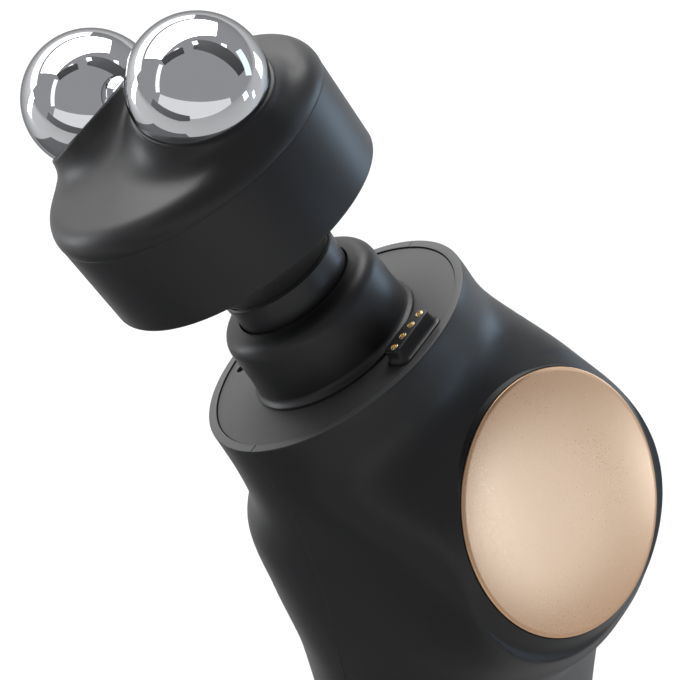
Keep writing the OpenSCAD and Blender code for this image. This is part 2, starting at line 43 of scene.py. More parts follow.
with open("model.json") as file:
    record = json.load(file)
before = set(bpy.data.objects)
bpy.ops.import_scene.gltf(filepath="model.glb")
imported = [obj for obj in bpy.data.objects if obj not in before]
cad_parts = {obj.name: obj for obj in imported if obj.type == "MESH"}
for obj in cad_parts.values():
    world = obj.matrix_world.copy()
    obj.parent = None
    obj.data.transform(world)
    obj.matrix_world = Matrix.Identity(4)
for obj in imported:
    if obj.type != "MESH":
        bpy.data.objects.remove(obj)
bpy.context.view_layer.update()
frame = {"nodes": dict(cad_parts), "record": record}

# ---------------------------------------------------------------- driving sizes, mm

BEND_DEG = 32
HEAD_TILT = radians(BEND_DEG)
BEND_R = 82.0
GRIP_LEN = 77.0
RIM_R = 25.0
HALF_W = 28.0
BACK_REACH = 43.5
FRONT_REACH = 26.5
WALL = 2.2
RIM_WALL = 1.1
RIM_BAND = 1.55
PAD_T = 0.8
PANEL_R = 7.5
PANEL_LOW = 26
PANEL_HIGH = 53
MOUTH_R = 1.8
MOUTH_HALF = 2.9
MOUTH_Z = 11.6

DISC_R = 22.25
DISC_X = 26.8
DISC_DROP = 37.1
DISC_CROWN = 0.5
DISC_T = 1.7
DISC_GAP = 0.1
DISC_SETBACK = 0.25
POCKET_X = 24.6
INNER_X = 23.0
FLOOR_X = 24.3
FLANK_REACH = 26.3

DECK_TOP = -0.25
DECK_UNDER = -1.9
SLOT_R = 0.85
SLOT_HALF = 5.3
SLOT_IN = 4.85

NECK_R = 14.5
NECK_H = 12.4
TUBE_R = NECK_R - 2.55
FOOT_FLARE = 1.0
TIP_R = 10.6
TIP_TOP = 17.6
TIP_LOW = 11.0
TIP_WALL = 0.35
CUP_DEPTH = 2.2
SHAFT_R = 4.5
SHAFT_LOW = -12
SHAFT_BORE = SHAFT_R + 1.75
RECESS_R = 10.63
RECESS_Z = 7.4
RECESS_UNDER = 6
BLOCK_X = 17.9
BLOCK_END = 21.5
BLOCK_W = 9.8
BLOCK_H = 2.35
PIN_X = 20.0
PIN_PITCH = 2.54
PIN_R = 0.42
PIN_LOW = -1.1
PIN_OUT = 0.25
BARREL_R = 0.72
BARREL_LOW = -1.6
BARREL_OUT = 0.1

HEAD_LIFT = 26.8
HEAD_WALL = 2.6
HEAD_FLARE = 0.55
SEAM_H = 15.75
SEAM_GAP = 0.12
BALL_R = 11.45
BALL_OUT = 13.9
BALL_Z = 28.6
SEAT_TILT = radians(22)
SEAT_Z = 20.5

MM = Matrix.Scale(0.001, 4)
NECK = (Matrix.Translation((-BEND_R * (1 - cos(HEAD_TILT)), 0, GRIP_LEN + BEND_R * sin(HEAD_TILT)))
        @ Matrix.Rotation(-HEAD_TILT, 4, "Y"))
HEAD = NECK @ Matrix.Translation((0, 0, HEAD_LIFT))
DISC = NECK @ Matrix.Translation((0, 0, -DISC_DROP)) @ Matrix.Rotation(pi / 2, 4, "Y")


# ---------------------------------------------------------------- mesh helpers

def rounded(corners, steps=5):
    """Profile points of an open outline whose corners are (r, z) or (r, z, corner radius)."""
    points = []
    for k, corner in enumerate(corners):
        here = Vector(corner[:2])
        if len(corner) < 3:
            points.append(here)
            continue
        back = (Vector(corners[k - 1][:2]) - here).normalized()
        ahead = (Vector(corners[(k + 1) % len(corners)][:2]) - here).normalized()
        half = back.angle(ahead) / 2
        centre = here + (back + ahead).normalized() * corner[2] / sin(half)
        start = here + back * corner[2] / tan(half) - centre
        end = here + ahead * corner[2] / tan(half) - centre
        turn = atan2(start.x * end.y - start.y * end.x, start.dot(end))
        for j in range(steps + 1):
            c, s = cos(turn * j / steps), sin(turn * j / steps)
            points.append(centre + Vector((c * start.x - s * start.y, s * start.x + c * start.y)))
    return points


def lathe(profile, sides=128, ring=False):
    """Turned shape round Z; the profile starts and ends on the axis, or is a closed ring."""
    bm = bmesh.new()
    verts = [bm.verts.new((r, 0, z)) for r, z in profile]
    edges = [bm.edges.new(pair) for pair in zip(verts, verts[1:])]
    if ring:
        edges.append(bm.edges.new((verts[-1], verts[0])))
    bmesh.ops.spin(bm, geom=verts + edges, cent=(0, 0, 0), axis=(0, 0, 1), dvec=(0, 0, 0),
                   angle=2 * pi, steps=sides, use_merge=True, use_duplicate=False)
    bmesh.ops.remove_doubles(bm, verts=bm.verts, dist=1e-4)
    bmesh.ops.recalc_face_normals(bm, faces=bm.faces)
    return bm


def seat(bm, place):
    """Moves a shape from its own millimetres to the row frame's metres."""
    bmesh.ops.transform(bm, matrix=MM @ place, verts=bm.verts)
    return bm


def joined(parts):
    """One bmesh of several closed shapes."""
    whole = bmesh.new()
    for part in parts:
        mesh = bpy.data.meshes.new("joined")
        part.to_mesh(mesh)
        part.free()
        whole.from_mesh(mesh)
        bpy.data.meshes.remove(mesh)
    return whole


def bevelled(bm, width, segments=2, angle=35):
    """Rounds the sharp edges of a closed shape."""
    sharp = [e for e in bm.edges if e.is_manifold and e.calc_face_angle() > radians(angle)]
    bmesh.ops.bevel(bm, geom=sharp, offset=width, offset_type="OFFSET", affect="EDGES",
                    segments=segments, profile=0.5, material=-1, clamp_overlap=True)
    return bm


def box(x0, x1, y0, y1, z0, z1):
    """Block between the given limits."""
    bm = bmesh.new()
    size = Matrix.Diagonal((x1 - x0, y1 - y0, z1 - z0, 1))
    middle = Matrix.Translation(((x0 + x1) / 2, (y0 + y1) / 2, (z0 + z1) / 2))
    bmesh.ops.create_cube(bm, size=1, matrix=middle @ size)
    return bm


def node_copy(node, width, segments=2):
    """A merged copy of a CAD node with its edges broken, in metres."""
    bm = bmesh.new()
    bm.from_mesh(frame["nodes"][node].data)
    bmesh.ops.remove_doubles(bm, verts=bm.verts, dist=1e-6)
    bmesh.ops.dissolve_limit(bm, angle_limit=radians(1), verts=bm.verts, edges=bm.edges)
    return bevelled(bm, width / 1000, segments)


def extruded(bm, edges):
    """Extrudes a loop of edges and gives the new edges and vertices."""
    made = bmesh.ops.extrude_edge_only(bm, edges=edges)["geom"]
    edges = [e for e in made if isinstance(e, bmesh.types.BMEdge) and len(e.link_faces) == 1]
    return edges, [v for v in made if isinstance(v, bmesh.types.BMVert)]


def cut_away(bm, cutter):
    """bm less the cutter, both closed."""
    scene = bpy.context.scene.collection
    things = []
    for part in (bm, cutter):
        mesh = bpy.data.meshes.new("cut")
        part.to_mesh(mesh)
        part.free()
        things.append(bpy.data.objects.new("cut", mesh))
        scene.objects.link(things[-1])
    cut = things[0].modifiers.new("Cut", "BOOLEAN")
    cut.operation = "DIFFERENCE"
    cut.solver = "EXACT"
    cut.object = things[1]
    result = bmesh.new()
    result.from_object(things[0], bpy.context.evaluated_depsgraph_get())
    for thing in things:
        mesh = thing.data
        bpy.data.objects.remove(thing)
        bpy.data.meshes.remove(mesh)
    return result


def new_object(bm, name, material):
    """An object of one material from a shape in metres."""
    mesh = bpy.data.meshes.new(name)
    bm.to_mesh(mesh)
    bm.free()
    mesh.materials.append(material)
    obj = bpy.data.objects.new(name, mesh)
    bpy.context.scene.collection.objects.link(obj)
    return obj


def piece(bm, name, finish, body, nodes=(), crease=35):
    """A finished piece of the device from a shape in the row frame."""
    obj = new_object(bm, name, FINISHES[finish]())
    obj.data.shade_smooth()
    obj.data.set_sharp_from_angle(angle=radians(crease))
    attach(obj, body)
    if nodes:
        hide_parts(*nodes)
    return obj


# ---------------------------------------------------------------- grip form

# Distance along the bend line (deg in the bend, then mm down the grip), reach to
# the back and front, half width, squareness of the back and front halves.
STATIONS = (
    (0.0, RIM_R, RIM_R, RIM_R, 2.0, 2.0),
    (6.4, 0.98 * RIM_R, 0.9 * RIM_R, 1.02 * RIM_R, 2.2, 2.2),
    (13.44, 0.805 * BACK_REACH, 0.92 * RIM_R, 0.93 * HALF_W, 3.2, 2.3),
    (21.76, BACK_REACH, FRONT_REACH, 0.98 * HALF_W, 4.0, 2.5),
    (BEND_DEG, 0.92 * BACK_REACH, FRONT_REACH, HALF_W, 2.5, 2.2),
    (50.0, 0.713 * BACK_REACH, 0.87 * FRONT_REACH, 0.98 * HALF_W, 2.4, 2.0),
    (109.0, 0.517 * BACK_REACH, 0.83 * FRONT_REACH, 0.857 * HALF_W, 2.3, 2.1),
)
GRIP_END = BEND_DEG + GRIP_LEN
# Places of the rings down the outside near the rim and up the inside.
RIM_RINGS = [0.25, 0.5, 0.9, 1.4, 2.0, 2.7, 3.5]
INNER_RINGS = (100, 88, 76, 64, 54, 46, 40, 36, 32, 28, 24, 20, 16, 12, 9, 7, 5, 3)


def station(s):
    """Smooth values at a distance s down the body."""
    last = len(STATIONS) - 1
    k = 0
    while k < last - 1 and s >= STATIONS[k + 1][0]:
        k += 1
    a, b = STATIONS[k], STATIONS[k + 1]
    before, after = STATIONS[max(k - 1, 0)], STATIONS[min(k + 2, last)]
    h = b[0] - a[0]
    t = (s - a[0]) / h
    u = 1 - t
    values = []
    for c in range(1, 6):
        rise_a = (b[c] - before[c]) / (b[0] - before[0])
        rise_b = (after[c] - a[c]) / (after[0] - a[0])
        values.append((1 + 2 * t) * u * u * a[c] + t * u * u * h * rise_a
                      + t * t * (3 - 2 * t) * b[c] - t * t * u * h * rise_b)
    return values


def section_r(s, angle):
    """Radius of the section at s in a direction round it."""
    back, front, half, back_n, front_n = station(s)
    reach, n = (back, back_n) if cos(angle) > 0 else (front, front_n)
    return ((abs(cos(angle)) / reach) ** n + (abs(sin(angle)) / half) ** n) ** (-1 / n)


def bend_line(s):
    """Turn and middle of the section plane at s."""
    bend = radians(min(s, BEND_DEG))
    down = max(s - BEND_DEG, 0)
    x = -BEND_R * (1 - cos(bend)) - down * sin(HEAD_TILT)
    z = -BEND_R * sin(bend) - down * cos(HEAD_TILT)
    return bend, x, z


def section_point(s, angle, r):
    """Point in the section plane at s."""
    bend, x, z = bend_line(s)
    return Vector((x + r * cos(angle) * cos(bend), r * sin(angle), z - r * cos(angle) * sin(bend)))


def back_surface(y, z):
    """Distance of the back of the body from the head axis at a height and width."""
    low, high = 0.5, 108.0
    for _ in range(40):
        s = (low + high) / 2
        bend, middle_x, middle_z = bend_line(s)
        u = (middle_z - z) / sin(bend)
        back, _, half, n, _ = station(s)
        outside = u > 0 and (u / back) ** n + abs(y / half) ** n > 1
        low, high = (s, high) if outside else (low, s)
    return middle_x + u * cos(bend)


def smooth_min(a, b, k):
    """The smaller of two numbers, blended where they are within k of each other."""
    return min(a, b) - max(k - abs(a - b), 0) ** 2 / (4 * k)


def bezel_x(rho):
    """Height of the bezel round the disc: a 45 degree slope that runs out in a floor."""
    slope = DISC_X - DISC_SETBACK - (rho - DISC_R - DISC_GAP)
    floor = FLOOR_X + 0.1 * max(rho - 25.5, 0) ** 1.5
    return -smooth_min(-slope, -floor, 0.5)


def wall_inset(s):
    """Wall of the grip at s: thin behind the rim, full from 7 deg down."""
    thin, full = 3.2, 7
    share = min(max((s - thin) / (full - thin), 0), 1)
    return RIM_WALL + (WALL - RIM_WALL) * share


def hole_reach(turn, radius):
    """Radius at which the bezel leaves the skin, held in at the two flanks."""
    flank = FLANK_REACH / max(abs(cos(turn)), 0.1)
    return smooth_min(radius, flank, 1.5)


def grip_columns(seam):
    """Directions round the grip, with three close together at each side seam."""
    angles = [radians(2.5 * k) for k in range(144)]
    half = seam / 2 / HALF_W
    for middle in (pi / 2, 3 * pi / 2):
        angles += [middle - half, middle + half]
    return sorted(angles)


def on_seam(angle):
    """Whether a direction is the middle of a side seam."""
    return min(abs(angle - pi / 2), abs(angle - 3 * pi / 2)) < 1e-6


def grip_rings(columns, seam_depth):
    """Rings of the grip skin (up the inner lip, over the rim, down outside, up the
    inside) and how many of them are outside."""
    rings = []
    lip = rounded([(RIM_R - RIM_WALL, -2.2), (RIM_R - RIM_BAND, -2.0), (RIM_R - RIM_BAND, 0, 0.08),
                   (RIM_R, 0, 0.2), (RIM_R, -1)], 4)
    for r, z in lip[:-1]:
        notch = seam_depth if z > -0.5 else 0
        rings.append([Vector((r * cos(a), r * sin(a), z - (notch if on_seam(a) else 0))) for a in columns])
    end = GRIP_END - PAD_T
    outside = RIM_RINGS + [4.4 + 0.92 * k for k in range(31)]
    outside += [BEND_DEG + 1.8 * k for k in range(1, 42)] + [end - 1.0, end - 0.5]
    for s in outside:
        rings.append([section_point(s, a, section_r(s, a) - (seam_depth if on_seam(a) else 0))
                      for a in columns])
    skin = len(rings)
    for s, inset in ((end - 0.25, 0.08), (end - 0.08, 0.25), (end, 0.55), (end, WALL)):
        rings.append([section_point(s, a, section_r(s, a) - inset) for a in columns])
    for s in INNER_RINGS:
        ring = []
        for a in columns:
            r = section_r(s, a) - wall_inset(s)
            bend, middle_x, _ = bend_line(s)
            reach = cos(a) * cos(bend)
            if reach > 0.01 and s < 70:
                r = min(r, (INNER_X - middle_x) / reach)
            ring.append(section_point(s, a, r))
        rings.append(ring)
    return rings, skin


def swept(rings, capped=False):
    """A closed skin extruded from ring to ring, joined up or capped at its ends."""
    bm = bmesh.new()
    column = bm.verts.layers.int.new("column")
    row = bm.verts.layers.int.new("row")
    circle = bmesh.ops.create_circle(bm, segments=len(rings[0]), radius=1)["verts"]
    for v in circle:
        k = round(atan2(v.co.y, v.co.x) / (2 * pi) * len(circle)) % len(circle)
        v[column] = k
        v.co = rings[0][k]
    first = edges = list(bm.edges)
    for k, ring in enumerate(rings[1:]):
        edges, verts = extruded(bm, edges)
        for v in verts:
            v.co = ring[v[column]]
            v[row] = k + 1
    if capped:
        bmesh.ops.contextual_create(bm, geom=first)
        bmesh.ops.contextual_create(bm, geom=edges)
        bmesh.ops.recalc_face_normals(bm, faces=bm.faces)
    else:
        bmesh.ops.bridge_loops(bm, edges=first + edges)
    return bm


def open_round_disc(bm, radius, skin):
    """Takes out the skin over the disc and evens the edge of the hole.

    Gives the edges of the hole and the direction of each vertex, in order."""
    row = bm.verts.layers.int.get("row")
    inside = []
    for face in bm.faces:
        p = face.calc_center_median()
        reach = hole_reach(atan2(p.z + DISC_DROP, p.y), radius)
        if p.x > 8 and hypot(p.y, p.z + DISC_DROP) < reach and all(4 < v[row] < skin for v in face.verts):
            inside.append(face)
    bmesh.ops.delete(bm, geom=inside, context="FACES")
    edges = [e for e in bm.edges if e.is_boundary]
    loop = [edges[0].verts[0], edges[0].verts[1]]
    while len(loop) < len(edges):
        here = loop[-1]
        loop.append(next(e.other_vert(here) for e in here.link_edges
                         if e.is_boundary and e.other_vert(here) is not loop[-2]))
    turns = [atan2(v.co.z + DISC_DROP, v.co.y) for v in loop]
    steps = [(b - a + pi) % (2 * pi) - pi for a, b in zip(turns, turns[1:] + turns[:1])]
    if sum(steps) < 0:
        loop.reverse()
        turns.reverse()
        steps = [-step for step in steps[-2::-1] + steps[-1:]]
    for _ in range(40):
        steps = [(steps[k - 1] + 2 * steps[k] + steps[(k + 1) % len(steps)]) / 4 for k in range(len(steps))]
    order = bm.verts.layers.int.get("column")
    turn = turns[0]
    for k, (v, step) in enumerate(zip(loop, steps)):
        turns[k] = turn
        v[order] = k
        reach = hole_reach(turn, radius)
        v.co.y = reach * cos(turn)
        v.co.z = reach * sin(turn) - DISC_DROP
        v.co.x = back_surface(v.co.y, v.co.z)
        turn += step
    return edges, turns


def bezel(bm, edges, turns, start):
    """Extrudes the edge of the hole inwards, down the bezel and into the pocket."""
    order = bm.verts.layers.int.get("column")
    even = [turns[0] + 2 * pi * k / len(turns) for k in range(len(turns))]
    edge = DISC_R + DISC_GAP
    foot = edge + 0.2
    steps = 26
    rows = [(j / steps, None) for j in range(1, steps)]
    rows += [(foot, None), (edge + 0.06, DISC_X - 0.36), (edge, DISC_X - 0.45), (edge, POCKET_X),
             (14.0, POCKET_X), (5.0, POCKET_X)]
    for j, (rho, x) in enumerate(rows):
        edges, verts = extruded(bm, edges)
        share = min((j + 1) / 12, 1)
        for v in verts:
            turn = turns[v[order]] * (1 - share) + even[v[order]] * share
            reach = hole_reach(turn, start)
            r = reach + (foot - reach) * rho if rho < 1 else rho
            y, z = r * cos(turn), r * sin(turn) - DISC_DROP
            if x is None:
                v.co = (smooth_min(back_surface(y, z), bezel_x(r), 0.6), y, z)
            else:
                v.co = (x, y, z)
    bmesh.ops.contextual_create(bm, geom=edges)


def slot_cutter(x0, x1, radius, z0, z1, lay=Matrix()):
    """Upright slot with round ends, through X, then laid in place."""
    bm = bmesh.new()
    bmesh.ops.create_circle(bm, segments=64, radius=radius, cap_ends=True,
                            matrix=Matrix.Translation((x0, 0, z0)) @ Matrix.Rotation(pi / 2, 4, "Y"))
    for v in bm.verts:
        if v.co.z > z0 + 1e-6:
            v.co.z += z1 - z0
    made = bmesh.ops.extrude_face_region(bm, geom=list(bm.faces))["geom"]
    moved = [v for v in made if isinstance(v, bmesh.types.BMVert)]
    bmesh.ops.translate(bm, verts=moved, vec=(x1 - x0, 0, 0))
    bmesh.ops.recalc_face_normals(bm, faces=bm.faces)
    bmesh.ops.transform(bm, matrix=lay, verts=bm.verts)
    return bm


# ---------------------------------------------------------------- head cap form

SHOULDER_R = 4.19
SHOULDER_AT = 21.46
SHOULDER_Z = 16.52
SLOPE = radians(20)
COLLAR_R = 11.72
COLLAR_DROP = 1.9
COLLAR_EDGE = 0.25
COLLAR_BLEND = 2.0
CAP_ROWS = 150
CAP_SIDES = 288


def smooth_union(a, b, k):
    """The union of two distances, blended where they are within k of each other."""
    return np.minimum(a, b) - np.maximum(k - np.abs(a - b), 0) ** 2 / (4 * k)


def dome_distance(p):
    """Distance to the turned dome with its round shoulder."""
    r = np.hypot(p[:, 0], p[:, 1]) - SHOULDER_AT
    z = p[:, 2] - SHOULDER_Z
    along = r * cos(SLOPE) - z * sin(SLOPE)
    above = r * sin(SLOPE) + z * cos(SLOPE)
    return np.where(along > 0, np.hypot(r, z), above) - SHOULDER_R


def collar_distance(p, side):
    """Distance to the collar round a ball, with a round edge."""
    q = p - np.array((side * BALL_OUT, 0, BALL_Z))
    axis = np.array((side * sin(SEAT_TILT), 0, cos(SEAT_TILT)))
    up = q @ axis
    out = np.linalg.norm(q - np.outer(up, axis), axis=1)
    flare = 0.1 * np.maximum(-up - COLLAR_DROP, 0)
    dx = out - COLLAR_R - flare + COLLAR_EDGE
    dz = up + COLLAR_DROP + COLLAR_EDGE
    corner = np.hypot(np.maximum(dx, 0), np.maximum(dz, 0))
    return np.minimum(np.maximum(dx, dz), 0) + corner - COLLAR_EDGE


def cap_distance(p, blend):
    """Distance to the dome and its two collars."""
    collars = smooth_union(collar_distance(p, 1), collar_distance(p, -1), COLLAR_BLEND)
    return smooth_union(dome_distance(p), collars, blend)


def cap_shape(blend):
    """The head cap: a hemisphere drawn down on to the dome and its two collars."""
    rises = [pi / 2 * k / CAP_ROWS for k in range(CAP_ROWS)]
    bm = lathe([(cos(a), sin(a)) for a in rises] + [(0, 1)], CAP_SIDES)
    rays = np.array([v.co.normalized() for v in bm.verts])
    reach = np.full(len(rays), 48.0)
    centre = np.array((0, 0, SEAM_H))
    for _ in range(160):
        reach -= 0.8 * cap_distance(centre + rays * reach[:, None], blend)
    for v, ray, far in zip(bm.verts, rays, reach):
        v.co = centre + ray * far
    edges = [e for e in bm.edges if e.is_boundary]
    seam, spigot = SEAM_H - SEAM_GAP, SEAM_H - 2.5
    for r, z in ((25.45, seam), (22.3, seam), (22.3, spigot), (20.8, spigot), (20.8, 18.6)):
        edges, verts = extruded(bm, edges)
        for v in verts:
            flat = Vector(v.co[:2]).normalized() * r
            v.co = (flat.x, flat.y, z)
    bmesh.ops.contextual_create(bm, geom=edges)
    bmesh.ops.recalc_face_normals(bm, faces=bm.faces)
    return bm


# ---------------------------------------------------------------- material helpers

def named_material(name):
    """A fresh material with its nodes, links and shader."""
    material = bpy.data.materials.new(name)
    material.use_nodes = True
    tree = material.node_tree
    return material, tree.nodes, tree.links, tree.nodes["Principled BSDF"]


def new_group(name, inputs, outputs):
    """A shader node group with float or colour sockets."""
    group = bpy.data.node_groups.new(name, "ShaderNodeTree")
    for label, kind, value in inputs:
        socket = group.interface.new_socket(name=label, in_out="INPUT", socket_type=kind)
        socket.default_value = value
    for label, kind in outputs:
        group.interface.new_socket(name=label, in_out="OUTPUT", socket_type=kind)
    start = group.nodes.new("NodeGroupInput")
    end = group.nodes.new("NodeGroupOutput")
    return group, start, end


def math_node(tree, operation, a, b=None, c=None):
    """Output of a Math node fed by numbers or sockets."""
    node = tree.nodes.new("ShaderNodeMath")
    node.operation = operation
    for socket, value in zip(node.inputs, (a, b, c)):
        if value is None:
            continue
        if isinstance(value, (int, float)):
            socket.default_value = value
        else:
            tree.links.new(value, socket)
    return node.outputs[0]


def noise(tree, vector, scale, detail=2.0, roughness=0.5):
    """Output of a Noise Texture node at a scale given by a number or a socket."""
    node = tree.nodes.new("ShaderNodeTexNoise")
    node.inputs["Detail"].default_value = detail
    node.inputs["Roughness"].default_value = roughness
    tree.links.new(vector, node.inputs["Vector"])
    if isinstance(scale, (int, float)):
        node.inputs["Scale"].default_value = scale
    else:
        tree.links.new(scale, node.inputs["Scale"])
    return node.outputs["Fac"]


def moulded_surface():
    """Node group: fine moulded grain with handling marks in the roughness."""
    group = bpy.data.node_groups.get("MouldedSurface")
    if group:
        return group
    group, start, end = new_group(
        "MouldedSurface",
        (("Grain Scale", "NodeSocketFloat", 3000.0), ("Roughness", "NodeSocketFloat", 0.45),
         ("Variation", "NodeSocketFloat", 0.05)),
        (("Roughness", "NodeSocketFloat"), ("Height", "NodeSocketFloat"), ("Tone", "NodeSocketFloat")))
    place = group.nodes.new("ShaderNodeTexCoord").outputs["Object"]
    grain = noise(group, place, start.outputs["Grain Scale"], 3.0, 0.6)
    marks = noise(group, place, 45.0, 4.0, 0.6)
    spread = math_node(group, "SUBTRACT", marks, 0.5)
    spread = math_node(group, "MULTIPLY_ADD", grain, 0.35, spread)
    spread = math_node(group, "MULTIPLY", spread, start.outputs["Variation"])
    rough = math_node(group, "ADD", spread, start.outputs["Roughness"])
    group.links.new(rough, end.inputs["Roughness"])
    group.links.new(grain, end.inputs["Height"])
    group.links.new(marks, end.inputs["Tone"])
    return group


def machined_surface():
    """Node group: bead-blasted or turned metal, speckled in tone, roughness and height."""
    group = bpy.data.node_groups.get("MachinedSurface")
    if group:
        return group
    group, start, end = new_group(
        "MachinedSurface",
        (("Speckle Scale", "NodeSocketFloat", 2200.0), ("Roughness", "NodeSocketFloat", 0.35),
         ("Variation", "NodeSocketFloat", 0.1)),
        (("Roughness", "NodeSocketFloat"), ("Height", "NodeSocketFloat"), ("Tone", "NodeSocketFloat")))
    place = group.nodes.new("ShaderNodeTexCoord").outputs["Object"]
    speckle = noise(group, place, start.outputs["Speckle Scale"], 1.0, 0.5)
    stain = noise(group, place, 60.0, 3.0, 0.5)
    spread = math_node(group, "SUBTRACT", math_node(group, "MULTIPLY_ADD", stain, 0.5, speckle), 0.75)
    rough = math_node(group, "MULTIPLY_ADD", spread, start.outputs["Variation"], start.outputs["Roughness"])
    group.links.new(rough, end.inputs["Roughness"])
    group.links.new(speckle, end.inputs["Height"])
    group.links.new(speckle, end.inputs["Tone"])
    return group


def toned(material, low, high, factor, shader):
    """Base colour between two tones by a mask."""
    tree = material.node_tree
    mix = tree.nodes.new("ShaderNodeMix")
    mix.data_type = "RGBA"
    mix.inputs[6].default_value = (*low, 1)
    mix.inputs[7].default_value = (*high, 1)
    tree.links.new(factor, mix.inputs[0])
    tree.links.new(mix.outputs[2], shader.inputs["Base Color"])


def surfaced(name, group, low, high, scale, roughness, variation, bump,
             metallic=0.0, specular=0.5, edge=1.0, sheen=0.0):
    """A material whose tone, roughness and bump come from one of the surface groups."""
    material = bpy.data.materials.get(name)
    if material:
        return material
    material, nodes, links, shader = named_material(name)
    surface = nodes.new("ShaderNodeGroup")
    surface.node_tree = group
    for socket, value in zip(surface.inputs, (scale, roughness, variation)):
        socket.default_value = value
    height = nodes.new("ShaderNodeBump")
    height.inputs["Strength"].default_value = 1.0
    height.inputs["Distance"].default_value = bump
    links.new(surface.outputs["Height"], height.inputs["Height"])
    links.new(height.outputs["Normal"], shader.inputs["Normal"])
    links.new(surface.outputs["Roughness"], shader.inputs["Roughness"])
    toned(material, low, high, surface.outputs["Tone"], shader)
    shader.inputs["Metallic"].default_value = metallic
    shader.inputs["Specular IOR Level"].default_value = specular
    shader.inputs["Specular Tint"].default_value = (edge, edge, edge, 1)
    shader.inputs["Sheen Weight"].default_value = sheen
    return material


# ---------------------------------------------------------------- finishes

# Each finish gives its darkest and lightest tone, grain scale, roughness, variation and bump.

def moulded(name, low, high, scale, roughness, variation, bump, sheen=0.0):
    """A moulded plastic or rubber."""
    return surfaced(name, moulded_surface(), low, high, scale, roughness, variation, bump, sheen=sheen)


def machined(name, low, high, scale, roughness, variation, bump, edge=1.0):
    """A metal, with how bright it is where it is seen edge on."""
    return surfaced(name, machined_surface(), low, high, scale, roughness, variation, bump,
                    metallic=1.0, edge=edge)


def soft_black():
    return moulded("SoftTouchBlack", (0.0045, 0.0047, 0.0056), (0.0070, 0.0073, 0.0084),
                   5200.0, 0.40, 0.05, 4e-6, sheen=0.03)


def moulded_black():
    return moulded("MouldedBlack", (0.012, 0.0125, 0.014), (0.017, 0.0175, 0.019), 4200.0, 0.36, 0.06, 4e-6)


def deck_grey():
    return moulded("DeckGrey", (0.040, 0.040, 0.041), (0.050, 0.050, 0.051), 5200.0, 0.50, 0.05, 4e-6)


# Lighter grey for the rim's flat top: a painted highlight that stands in for the window's grazing reflection
# on the black rim.
def rim_painted_highlight():
    return moulded("RimPaintedHighlight", (0.058, 0.0585, 0.0595), (0.070, 0.0705, 0.0715), 5200.0, 0.42, 0.05, 4e-6)


def button_grey():
    return moulded("ButtonGrey", (0.060, 0.062, 0.066), (0.070, 0.072, 0.076), 4200.0, 0.42, 0.05, 4e-6)


def rubber():
    return moulded("BlackRubber", (0.010, 0.010, 0.011), (0.016, 0.016, 0.017), 2600.0, 0.70, 0.08, 8e-6)


def inner_frame():
    return moulded("GlassFilledFrame", (0.08, 0.085, 0.09), (0.11, 0.115, 0.12), 2400.0, 0.55, 0.10, 8e-6)


def cell_wrap():
    return moulded("ShrinkWrap", (0.012, 0.045, 0.13), (0.016, 0.055, 0.15), 900.0, 0.25, 0.05, 5e-6)


def board():
    return moulded("SolderMask", (0.006, 0.045, 0.02), (0.010, 0.060, 0.028), 1400.0, 0.30, 0.08, 5e-6)


def dark_window():
    return moulded("SmokedWindow", (0.004, 0.004, 0.005), (0.006, 0.006, 0.007), 600.0, 0.08, 0.03, 1e-6)


def rose_gold():
    return machined("RoseGoldDisc", (0.77, 0.475, 0.285), (0.86, 0.545, 0.34), 2600.0, 0.30, 0.10, 3e-6)


def chrome():
    return machined("PolishedChrome", (0.80, 0.81, 0.83), (0.83, 0.84, 0.86),
                    300.0, 0.03, 0.02, 1e-7, edge=0.35)


def gold():
    return machined("GoldPlate", (0.88, 0.68, 0.36), (0.94, 0.76, 0.44), 3000.0, 0.18, 0.08, 2e-6)


def bronze():
    return machined("SinteredBronze", (0.38, 0.24, 0.10), (0.46, 0.30, 0.14), 2600.0, 0.40, 0.15, 8e-6)


def steel():
    return machined("BrightSteel", (0.50, 0.51, 0.53), (0.58, 0.59, 0.61), 2200.0, 0.28, 0.10, 3e-6)


def alloy():
    return machined("MachinedAlloy", (0.62, 0.63, 0.65), (0.70, 0.71, 0.73), 2200.0, 0.34, 0.10, 4e-6)


def card_grey():
    return moulded("DarkCard", (0.10, 0.10, 0.103), (0.12, 0.12, 0.123), 40.0, 0.9, 0.02, 1e-5)


FINISHES = {f.__name__: f for f in (
    soft_black, moulded_black, deck_grey, button_grey, rubber, inner_frame, cell_wrap, board,
    dark_window, rose_gold, chrome, gold, bronze, steel, alloy)}


# ---------------------------------------------------------------- settings

class ToningGripSettings(bpy.types.PropertyGroup):
    """Sizes of the grip's fine detail."""
    seam_width: bpy.props.FloatProperty(
        name="Seam width", description="Width of the side seam between the shells", default=0.0003,
        min=0.0001, max=0.001, precision=5, unit="LENGTH")
    seam_depth: bpy.props.FloatProperty(
        name="Seam depth", description="Depth of the side seam between the shells", default=0.00013,
        min=0.0, max=0.001, precision=5, unit="LENGTH")
    hole_radius: bpy.props.FloatProperty(
        name="Bezel start", description="Radius at which the bezel leaves the skin", default=0.029,
        min=0.027, max=0.031, precision=5, unit="LENGTH")


class ToningHeadSettings(bpy.types.PropertyGroup):
    """Sizes of the head's fine detail."""
    collar_blend: bpy.props.FloatProperty(
        name="Collar blend", description="Reach of the blend between dome and collars", default=0.0045,
        min=0.001, max=0.008, precision=5, unit="LENGTH")


class ToningStudioSettings(bpy.types.PropertyGroup):
    """Light and camera."""
    lens: bpy.props.FloatProperty(
        name="Lens", description="Focal length of the camera", default=169.11, min=50, max=300,
        subtype="DISTANCE_CAMERA")
    window: bpy.props.FloatProperty(
        name="Window", description="Brightness of the large softbox", default=5.0, min=0)


# ---------------------------------------------------------------- pieces

